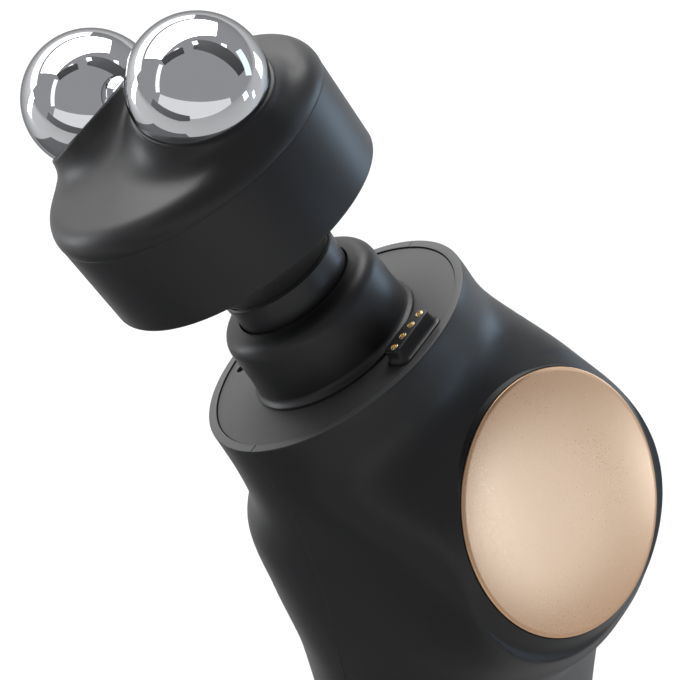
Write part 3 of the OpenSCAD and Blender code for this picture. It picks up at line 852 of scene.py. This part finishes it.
class TONING_OT_grip(bpy.types.Operator):
    """Model the leaning grip with its rim, side seams, panel window, charging mouth and disc bezel"""
    bl_idname = "toning.grip"
    bl_label = "Grip"

    def execute(self, context):
        sizes = context.scene.toning_grip
        columns = grip_columns(1000 * sizes.seam_width)
        rings, skin = grip_rings(columns, 1000 * sizes.seam_depth)
        bm = swept(rings)
        start = 1000 * sizes.hole_radius
        edges, turns = open_round_disc(bm, start, skin)
        bezel(bm, edges, turns, start)
        bmesh.ops.recalc_face_normals(bm, faces=bm.faces)
        bmesh.ops.transform(bm, matrix=NECK, verts=bm.verts)
        bm = cut_away(bm, slot_cutter(-60, -8, PANEL_R, PANEL_LOW, PANEL_HIGH))
        lay = Matrix.Translation((0, 0, MOUTH_Z)) @ Matrix.Rotation(pi / 2, 4, "X")
        bm = cut_away(bm, slot_cutter(12, 40, MOUTH_R, -MOUTH_HALF, MOUTH_HALF, lay))
        seat(bm, Matrix())
        grip = piece(bm, "grip_skin", "soft_black", "body", ("front_shell", "back_shell"), 30)
        # The rim's flat top takes the lighter grey, a painted highlight for the grazing reflection of the
        # window.
        grip.data.materials.append(rim_painted_highlight())
        to_rim = NECK.inverted()
        for face in grip.data.polygons:
            at = to_rim @ (1000 * face.center)
            if at.z > -0.1 and at.xy.length < RIM_R:
                face.material_index = 1
        return {"FINISHED"}


class TONING_OT_disc(bpy.types.Operator):
    """Turn the crowned warming disc with its bright edge"""
    bl_idname = "toning.disc"
    bl_label = "Warming Disc"

    def execute(self, context):
        rows = 32
        shares = [0.996 * (1 - k / rows) for k in range(rows)]
        face = [(DISC_R * share, DISC_X + DISC_CROWN * (1 - share ** 4)) for share in shares]
        under = DISC_X - DISC_T
        profile = rounded([(0, under), (DISC_R, under, 0.15), (DISC_R, DISC_X - 0.06, 0.05),
                           (DISC_R - 0.1, DISC_X)], 3)[:-1]
        bm = lathe(profile + face + [(0, DISC_X + DISC_CROWN)], 192)
        piece(seat(bm, DISC), "warming_disc", "rose_gold", "body", ("disc",), 40)
        return {"FINISHED"}


class TONING_OT_deck(bpy.types.Operator):
    """Turn the deck plate inside the rim and cut its two slots"""
    bl_idname = "toning.deck"
    bl_label = "Deck Plate"

    def execute(self, context):
        outer = RIM_R - RIM_BAND - 0.1
        inner = NECK_R - 1.4
        bm = lathe(rounded([(inner, DECK_UNDER, 0.1), (outer - 0.85, DECK_UNDER, 0.1),
                            (outer, DECK_TOP, 0.07), (inner, DECK_TOP, 0.1)], 3), 160, ring=True)
        bm = cut_away(bm, box(PIN_X - 1.7, PIN_X + 1.5, -5.4, 5.4, -3, 1))
        lay = (Matrix.Translation((SLOT_IN - RIM_R, 0, -3)) @ Matrix.Rotation(-pi / 2, 4, "Y")
               @ Matrix.Rotation(pi / 2, 4, "X"))
        bm = cut_away(bm, slot_cutter(-1, 4, SLOT_R, -SLOT_HALF, SLOT_HALF, lay))
        piece(seat(bm, NECK), "deck", "deck_grey", "body", ("deck_plate",), 30)
        return {"FINISHED"}


def contact_outline(grow, z):
    """Outline of the contact block at a height, grown outwards by a flare."""
    round_r = 1.0 + grow
    x0, x1, half = BLOCK_X - grow, BLOCK_END + grow, BLOCK_W / 2 + grow
    points = []
    for x, y, start in ((x1 - round_r, half - round_r, 0), (x0 + round_r, half - round_r, 90),
                        (x0 + round_r, round_r - half, 180), (x1 - round_r, round_r - half, 270)):
        for k in range(9):
            a = radians(start + 11.25 * k)
            points.append(Vector((x + round_r * cos(a), y + round_r * sin(a), z)))
    return points


class TONING_OT_neck(bpy.types.Operator):
    """Turn the neck boot with its recess and add the contact block"""
    bl_idname = "toning.neck"
    bl_label = "Neck Boot"

    def execute(self, context):
        spigot = NECK_R - 1.5
        tube = [(TUBE_R, DECK_UNDER), (spigot, DECK_UNDER), (spigot, DECK_TOP)]
        foot = [(NECK_R + FOOT_FLARE, DECK_TOP), (NECK_R + FOOT_FLARE, 0.28, 0.2),
                (NECK_R + 0.15, 1.0, 1.2), (NECK_R, 4.6)]
        crown = [(NECK_R, NECK_H, 3.0), (RECESS_R, NECK_H, 0.05), (RECESS_R, RECESS_Z, 0.3),
                 (SHAFT_BORE, RECESS_Z), (SHAFT_BORE, RECESS_UNDER), (TUBE_R, RECESS_UNDER)]
        boot = lathe(rounded(tube + foot + crown, 10), 160, ring=True)
        flare = [(DECK_TOP, 0.85), (-0.05, 0.85), (0.1, 0.55), (0.3, 0.36), (0.6, 0.2), (1.0, 0.08),
                 (1.5, 0.0)]
        edge = 0.3
        for j in range(7):
            a = pi * j / 12
            flare.append((BLOCK_H - edge * (1 - sin(a)), -edge * (1 - cos(a))))
        block = swept([contact_outline(grow, z) for z, grow in flare], capped=True)
        for k in range(4):
            bore = BARREL_R + 0.02
            hole = lathe([(0, 0.2), (bore, 0.2), (bore, 5), (0, 5)], 40)
            bmesh.ops.translate(hole, verts=hole.verts, vec=(PIN_X, (k - 1.5) * PIN_PITCH, 0))
            block = cut_away(block, hole)
        piece(seat(joined([boot, block]), NECK), "neck", "soft_black", "body", ("neck_boot",), 30)
        return {"FINISHED"}


class TONING_OT_contacts(bpy.types.Operator):
    """Turn the four gold barrels and their spring contacts"""
    bl_idname = "toning.contacts"
    bl_label = "Spring Contacts"

    def execute(self, context):
        barrels = []
        bore = PIN_R + 0.05
        collar = BLOCK_H + BARREL_OUT
        top = BLOCK_H + PIN_OUT
        cup = top - 0.5
        for k in range(4):
            spot = Matrix.Translation((PIN_X, (k - 1.5) * PIN_PITCH, 0))
            barrel = lathe(rounded([(bore, BARREL_LOW, 0.05), (BARREL_R, BARREL_LOW, 0.05),
                                    (BARREL_R, collar, 0.08), (bore, collar, 0.05)], 3), 48, ring=True)
            bmesh.ops.transform(barrel, matrix=spot, verts=barrel.verts)
            barrels.append(barrel)
            pin = lathe(rounded([(0, PIN_LOW), (PIN_R, PIN_LOW, 0.05), (PIN_R, top, 0.08),
                                 (0.31, top, 0.03), (0.28, cup), (0, cup)], 4), 36)
            piece(seat(pin, NECK @ spot), "spring_contact_%d" % (k + 1), "gold", "contact_%d" % (k + 1),
                  ("pogo_pin_%d" % (k + 1),), 40)
        piece(seat(joined(barrels), NECK), "contact_barrels", "gold", "body", ("pin_barrels",), 40)
        return {"FINISHED"}


class TONING_OT_tip(bpy.types.Operator):
    """Turn the percussion shaft with its cupped tip and the disc set in it"""
    bl_idname = "toning.tip"
    bl_label = "Percussion Tip"

    def execute(self, context):
        cup = TIP_TOP - CUP_DEPTH
        lip = TIP_TOP - 0.1
        shaft = lathe(rounded([(0, SHAFT_LOW), (SHAFT_R, SHAFT_LOW, 0.3), (SHAFT_R, TIP_LOW, 0.3),
                               (TIP_R - 1.2, TIP_LOW, 0.3), (TIP_R - 0.3, TIP_LOW + 0.8, 0.6),
                               (TIP_R, TIP_TOP - 0.35), (TIP_R - 0.2, lip), (TIP_R - TIP_WALL, lip),
                               (TIP_R - TIP_WALL, cup), (0, cup)], 6), 160)
        piece(seat(shaft, NECK), "percussion_tip", "moulded_black", "plunger", ("percussion_shaft",), 30)
        edge = TIP_R - TIP_WALL - 0.2
        disc = lathe(rounded([(0, cup), (edge, cup), (edge, TIP_TOP, 0.25), (0, TIP_TOP)], 5), 160)
        piece(seat(disc, NECK), "tip_face", "moulded_black", "plunger", ("tip_disc",), 40)
        return {"FINISHED"}


class TONING_OT_head_housing(bpy.types.Operator):
    """Turn the round wall of the massage head"""
    bl_idname = "toning.head_housing"
    bl_label = "Head Housing"

    def execute(self, context):
        inner = RIM_R - HEAD_WALL
        bm = lathe(rounded([(inner, 0, 0.2), (RIM_R, 0, 0.6), (RIM_R + HEAD_FLARE, SEAM_H, 0.15),
                            (inner, SEAM_H, 0.1)], 9), 256, ring=True)
        piece(seat(bm, HEAD), "head_wall", "soft_black", "head", ("head_housing",), 40)
        return {"FINISHED"}


class TONING_OT_head_cap(bpy.types.Operator):
    """Draw the head cap over its dome and the collars of the two balls"""
    bl_idname = "toning.head_cap"
    bl_label = "Head Cap"

    def execute(self, context):
        bm = cap_shape(1000 * context.scene.toning_head.collar_blend)
        piece(seat(bm, HEAD), "head_dome", "soft_black", "head", ("head_cap",), 50)
        return {"FINISHED"}


class TONING_OT_electrodes(bpy.types.Operator):
    """Turn the two polished ball electrodes with their flat seats"""
    bl_idname = "toning.electrodes"
    bl_label = "Ball Electrodes"

    def execute(self, context):
        low = SEAT_Z - BALL_Z
        start = -pi / 2 + atan2((BALL_R ** 2 - low ** 2) ** 0.5, -low)
        steps = 120
        rises = [start + (pi / 2 - start) * k / steps for k in range(steps)]
        arc = [(BALL_R * cos(a), BALL_R * sin(a)) for a in rises]
        for side, name in ((-1, "electrode_front"), (1, "electrode_back")):
            bm = lathe([(0, low)] + arc + [(0, BALL_R)], 240)
            spot = Matrix.Translation((side * BALL_OUT, 0, BALL_Z))
            piece(seat(bm, HEAD @ spot), "ball" + name[9:], "chrome", "head", (name,), 40)
        return {"FINISHED"}


class TONING_OT_controls(bpy.types.Operator):
    """Break the edges of the control panel, its window and its three buttons"""
    bl_idname = "toning.controls"
    bl_label = "Controls"

    def execute(self, context):
        piece(node_copy("control_panel", 0.3), "controls_panel", "moulded_black", "body", ("control_panel",))
        piece(node_copy("display_window", 0.1), "controls_window", "dark_window", "body", ("display_window",))
        for key in ("power_button", "mode_button", "level_button"):
            piece(node_copy(key, 0.15), key.replace("button", "key"), "button_grey", key + "_key", (key,))
        return {"FINISHED"}


class TONING_OT_foot(bpy.types.Operator):
    """Break the edges of the foot pieces and the head's underside"""
    bl_idname = "toning.foot"
    bl_label = "Foot and Underside"

    def execute(self, context):
        piece(node_copy("base_cap", 0.2), "foot_cap", "moulded_black", "body", ("base_cap",))
        piece(node_copy("foot_pad", 0.2), "foot_ring", "rubber", "body", ("foot_pad",))
        piece(node_copy("usb_socket", 0.08), "charging_mouth", "steel", "body", ("usb_socket",))
        piece(node_copy("head_base", 0.12), "head_underside", "inner_frame", "head", ("head_base",))
        return {"FINISHED"}


class TONING_OT_inner_finishes(bpy.types.Operator):
    """Give every CAD node that stays the finish of its material slot"""
    bl_idname = "toning.inner_finishes"
    bl_label = "Inner Finishes"

    def execute(self, context):
        slots = {part["node"]: part["material_slot"] for part in frame["record"]["subparts"]}
        for name, obj in frame["nodes"].items():
            obj.data.materials.clear()
            obj.data.materials.append(FINISHES[slots[name]]())
        return {"FINISHED"}


# ---------------------------------------------------------------- stage

CAMERA_AT = Vector((0.205915, -0.2498, 0.530927))
CAMERA_TURN = [radians(a) for a in (38.5056, 6.6736, 32.6624)]
AIM = Vector((-0.03, 0.0, 0.175))
ROOM = (0.32, 0.32, 0.33, 1)
CEILING = ((-0.41, 0.02, 0.91), (-0.16, 0.39, 0.91), (0.01, 0.48, 0.88), (0.29, 0.73, 0.62))
CLEAR = (0.92, 0.95, 1.0)
PALE_BLUE = (0.72, 0.86, 1.0)
SKY_BLUE = (0.52, 0.75, 1.0)
COOL = (0.5, 0.72, 1.0)


def facing(towards, along, away):
    """Place of a flat thing seen from the balls in one direction, its width along another."""
    at = Vector(towards).normalized()
    side = (Vector(along) - at * at.dot(Vector(along))).normalized()
    turn = Matrix((side, at.cross(side), at)).transposed().to_4x4()
    return Matrix.Translation(AIM + at * away) @ turn


def softbox(name, towards, along, wide, high, radiance, tint=(1, 1, 1), away=1.5):
    """Rectangular lamp of a given breadth in degrees and an even brightness."""
    lamp = bpy.data.lights.new(name, "AREA")
    lamp.shape = "RECTANGLE"
    lamp.size = 2 * away * tan(radians(wide / 2))
    lamp.size_y = 2 * away * tan(radians(high / 2))
    lamp.energy = radiance * pi * lamp.size * lamp.size_y
    lamp.color = tint
    obj = bpy.data.objects.new(name, lamp)
    obj.matrix_world = facing(towards, along, away)
    bpy.context.scene.collection.objects.link(obj)


def dark_card(name, place, wide, high):
    """Dark card beside the set, seen in reflections only."""
    bm = bmesh.new()
    bmesh.ops.create_grid(bm, x_segments=1, y_segments=1, size=0.5)
    bmesh.ops.transform(bm, matrix=place @ Matrix.Diagonal((wide, high, 1, 1)), verts=bm.verts)
    card = new_object(bm, name, card_grey())
    card.visible_camera = card.visible_diffuse = card.visible_shadow = False


def pale_floor():
    """Pale matt grey that is lighter to the camera and, a little, in reflections."""
    material, nodes, links, shader = named_material("PaleFloor")
    shader.inputs["Base Color"].default_value = (0.30, 0.30, 0.30, 1)
    shader.inputs["Roughness"].default_value = 0.9
    shader.inputs["Emission Color"].default_value = (1, 1, 1, 1)
    path = nodes.new("ShaderNodeLightPath")
    glossy = math_node(material.node_tree, "MULTIPLY", path.outputs["Is Glossy Ray"], 0.2)
    seen = math_node(material.node_tree, "MULTIPLY_ADD", path.outputs["Is Camera Ray"], 0.68, glossy)
    links.new(seen, shader.inputs["Emission Strength"])
    return material


def studio_floor():
    """Pale floor that keeps the object's shadow."""
    bm = bmesh.new()
    bmesh.ops.create_grid(bm, x_segments=8, y_segments=8, size=3.0)
    new_object(bm, "studio_floor", pale_floor())


def studio_world():
    """White to the camera, a soft grey room to everything else."""
    world = bpy.data.worlds.new("StudioRoom")
    bpy.context.scene.world = world
    world.use_nodes = True
    tree = world.node_tree
    background = tree.nodes["Background"]
    path = tree.nodes.new("ShaderNodeLightPath")
    mix = tree.nodes.new("ShaderNodeMix")
    mix.data_type = "RGBA"
    mix.inputs[6].default_value = ROOM
    mix.inputs[7].default_value = (1, 1, 1, 1)
    tree.links.new(path.outputs["Is Camera Ray"], mix.inputs[0])
    tree.links.new(mix.outputs[2], background.inputs["Color"])


class TONING_OT_stage(bpy.types.Operator):
    """Set up the pale floor, the soft studio light and the camera"""
    bl_idname = "toning.stage"
    bl_label = "Stage"

    def execute(self, context):
        settings = context.scene.toning_studio
        context.scene.view_settings.view_transform = "Standard"
        studio_floor()
        studio_world()
        upright = (0, 0, 1)
        softbox("window_softbox", (-0.648, 0.481, 0.594), (-0.71, -0.985, 0.15), 80, 42, settings.window)
        softbox("pale_wall", (0.5, -0.83, 0.12), (1.33, 1.16, -0.3), 110, 28, 0.5)
        softbox("left_strip", (-0.54, -0.59, 0.515), (0.14, -0.46, -0.37), 36, 7, 1.2)
        softbox("left_side", (-0.908, -0.33, -0.235), upright, 24, 9, 6.5, CLEAR, 0.42)
        softbox("right_strip", (0.6, 0.78, 0.16), (0.34, -0.45, -0.48), 30, 13, 1.1, PALE_BLUE)
        softbox("cool_side", (0.358, 0.886, -0.292), upright, 14, 18, 4.8, SKY_BLUE, 0.42)
        softbox("disc_side", (0.326, 0.112, -0.064), upright, 9, 8, 4.4, COOL, 0.35)
        softbox("disc_edge", (0.311, 0.203, -0.142), upright, 8, 4, 7.0, COOL, 0.396)
        softbox("low_band", (-0.94, 0.33, 0.05), (0.33, 0.94, 0), 70, 17, 1.8)
        for k, towards in enumerate(CEILING):
            softbox("ceiling_lamp_%d" % (k + 1), towards, (0.5, 0.5, -0.3), 7, 7, 2.0)
        dark_card("upper_card", facing((-0.42, -0.11, 0.83), (0.39, 0.49, 0.27), 1.3), 0.75, 0.27)
        dark_card("side_card", facing((0.35, 0.5, 0.62), (1.1, 0.29, -0.8), 1.3), 2.0, 0.5)
        dark_card("low_card", facing((-0.1, -0.97, -0.05), (0.9, 0.35, -0.1), 0.9), 1.0, 0.19)
        dark_card("floor_card", Matrix.Translation((-0.09, -0.15, 0.001)), 0.24, 0.24)
        camera = bpy.data.cameras.new("photo_camera")
        camera.lens = settings.lens
        camera.sensor_width = 36
        camera.clip_start = 0.01
        obj = bpy.data.objects.new("photo_camera", camera)
        obj.location = CAMERA_AT
        obj.rotation_euler = CAMERA_TURN
        context.scene.collection.objects.link(obj)
        context.scene.camera = obj
        return {"FINISHED"}


# ---------------------------------------------------------------- panel and run

OPERATORS = (
    TONING_OT_grip, TONING_OT_disc, TONING_OT_deck, TONING_OT_neck, TONING_OT_contacts, TONING_OT_tip,
    TONING_OT_head_housing, TONING_OT_head_cap, TONING_OT_electrodes, TONING_OT_controls, TONING_OT_foot,
    TONING_OT_inner_finishes, TONING_OT_stage)
SETTINGS = {"toning_grip": ToningGripSettings, "toning_head": ToningHeadSettings,
            "toning_studio": ToningStudioSettings}


class TONING_PT_device(bpy.types.Panel):
    """Lists the device's pieces and their sizes"""
    bl_idname = "TONING_PT_device"
    bl_label = "Toning Device"
    bl_space_type = "VIEW_3D"
    bl_region_type = "UI"
    bl_category = "Toning Device"

    def draw(self, context):
        column = self.layout.column(align=True)
        for operator in OPERATORS:
            column.operator(operator.bl_idname)
        for name, group in SETTINGS.items():
            sizes = self.layout.box()
            for prop in group.__annotations__:
                sizes.prop(getattr(context.scene, name), prop)


def register():
    for cls in (*SETTINGS.values(), *OPERATORS, TONING_PT_device):
        bpy.utils.register_class(cls)
    for name, group in SETTINGS.items():
        setattr(bpy.types.Scene, name, bpy.props.PointerProperty(type=group))


def unregister():
    for name in SETTINGS:
        delattr(bpy.types.Scene, name)
    for cls in reversed((*SETTINGS.values(), *OPERATORS, TONING_PT_device)):
        bpy.utils.unregister_class(cls)


def main():
    register()
    for operator in OPERATORS:
        group, name = operator.bl_idname.split(".")
        getattr(getattr(bpy.ops, group), name)()


if __name__ == "__main__":
    main()
